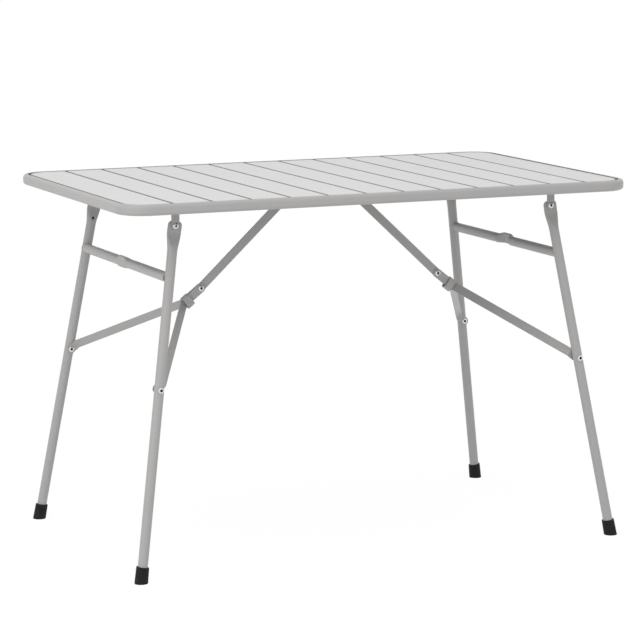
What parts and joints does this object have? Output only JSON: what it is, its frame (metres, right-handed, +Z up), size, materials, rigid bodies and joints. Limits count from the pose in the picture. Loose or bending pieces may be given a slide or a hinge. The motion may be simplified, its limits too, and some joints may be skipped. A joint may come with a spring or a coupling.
{
  "type": "folding catering table",
  "caption": "Folding table with a slatted steel top and two pairs of tube legs that fold flat under it.",
  "frame": {"origin": "on the floor, under the middle of the top", "axes": "+X along the table's length, +Y across it, +Z up"},
  "size_m": [1.1, 0.672, 0.74],
  "materials": {
    "top_paint": "satin light grey powder coat",
    "frame_paint": "satin grey powder coat",
    "zinc": "bright zinc plate",
    "rubber": "ribbed black rubber"
  },
  "bodies": {
    "top": {"top_rim": "frame_paint", "slat_01": "top_paint", "slat_02": "top_paint", "slat_03": "top_paint", "slat_04": "top_paint", "slat_05": "top_paint", "slat_06": "top_paint", "slat_07": "top_paint", "slat_08": "top_paint", "slat_09": "top_paint", "slat_10": "top_paint", "slat_11": "top_paint", "slat_12": "top_paint", "slat_13": "top_paint", "rail_near": "top_paint", "rail_far": "top_paint", "cross_rail_left_outer": "top_paint", "cross_rail_left_inner": "top_paint", "leg_bracket_left_near": "frame_paint", "pivot_rivet_left_near": "zinc", "leg_bracket_left_far": "frame_paint", "pivot_rivet_left_far": "zinc", "brace_bracket_left": "frame_paint", "brace_rivet_left": "zinc", "cross_rail_right_outer": "top_paint", "cross_rail_right_inner": "top_paint", "leg_bracket_right_near": "frame_paint", "pivot_rivet_right_near": "zinc", "leg_bracket_right_far": "frame_paint", "pivot_rivet_right_far": "zinc", "brace_bracket_right": "frame_paint", "brace_rivet_right": "zinc"},
    "legs_left": {"crossbar_left": "frame_paint", "leg_left_near": "frame_paint", "leg_left_far": "frame_paint", "foot_cap_left_near": "rubber", "foot_cap_left_far": "rubber", "strap_rivet_left_near": "zinc", "strap_rivet_left_far": "zinc"},
    "fork_left": {"fork_strap_left_near": "frame_paint", "fork_strap_left_far": "frame_paint", "knee_rivet_left_near": "zinc", "knee_rivet_left_far": "zinc"},
    "strap_left": {"upper_strap_left": "frame_paint"},
    "ring_left": {"lock_ring_left": "frame_paint"},
    "legs_right": {"crossbar_right": "frame_paint", "leg_right_near": "frame_paint", "leg_right_far": "frame_paint", "foot_cap_right_near": "rubber", "foot_cap_right_far": "rubber", "strap_rivet_right_near": "zinc", "strap_rivet_right_far": "zinc"},
    "fork_right": {"fork_strap_right_near": "frame_paint", "fork_strap_right_far": "frame_paint", "knee_rivet_right_near": "zinc", "knee_rivet_right_far": "zinc"},
    "strap_right": {"upper_strap_right": "frame_paint"},
    "ring_right": {"lock_ring_right": "frame_paint"}
  },
  "joints": [
    {"name": "leg_fold_left", "type": "hinge", "parent": "top", "child": "legs_left", "pos_m": [-0.4111, 0, 0.685], "axis": [0, -1, 0], "range_deg": [0, 95.4]},
    {"name": "brace_upper_left", "type": "hinge", "parent": "top", "child": "strap_left", "pos_m": [-0.081, 0, 0.6962], "axis": [0, 1, 0], "range_deg": [0, 43.89]},
    {"name": "brace_lower_left", "type": "hinge", "parent": "legs_left", "child": "fork_left", "pos_m": [-0.46031, 0, 0.37022], "axis": [0, -1, 0], "range_deg": [0, 38.12]},
    {"name": "ring_slide_left", "type": "slide", "parent": "strap_left", "child": "ring_left", "axis": [0.7613, 0, 0.6484], "range_m": [0, 0.0627]},
    {"name": "leg_fold_right", "type": "hinge", "parent": "top", "child": "legs_right", "pos_m": [0.4111, 0, 0.685], "axis": [0, 1, 0], "range_deg": [0, 98.3]},
    {"name": "brace_upper_right", "type": "hinge", "parent": "top", "child": "strap_right", "pos_m": [0.081, 0, 0.6962], "axis": [0, -1, 0], "range_deg": [0, 48.24]},
    {"name": "brace_lower_right", "type": "hinge", "parent": "legs_right", "child": "fork_right", "pos_m": [0.46031, 0, 0.37022], "axis": [0, 1, 0], "range_deg": [0, 34.46]},
    {"name": "ring_slide_right", "type": "slide", "parent": "strap_right", "child": "ring_right", "axis": [-0.7402, 0, 0.6724], "range_m": [0, 0.0627]}
  ],
  "couplings": [
    {"joint": "brace_upper_left", "follows": "leg_fold_left", "ratio": 0.45954},
    {"joint": "brace_lower_left", "follows": "leg_fold_left", "ratio": 0.39904},
    {"joint": "ring_slide_left", "follows": "leg_fold_left", "m_per_rad": 0.037609},
    {"joint": "brace_upper_right", "follows": "leg_fold_right", "ratio": 0.49025},
    {"joint": "brace_lower_right", "follows": "leg_fold_right", "ratio": 0.35002},
    {"joint": "ring_slide_right", "follows": "leg_fold_right", "m_per_rad": 0.036468}
  ]
}
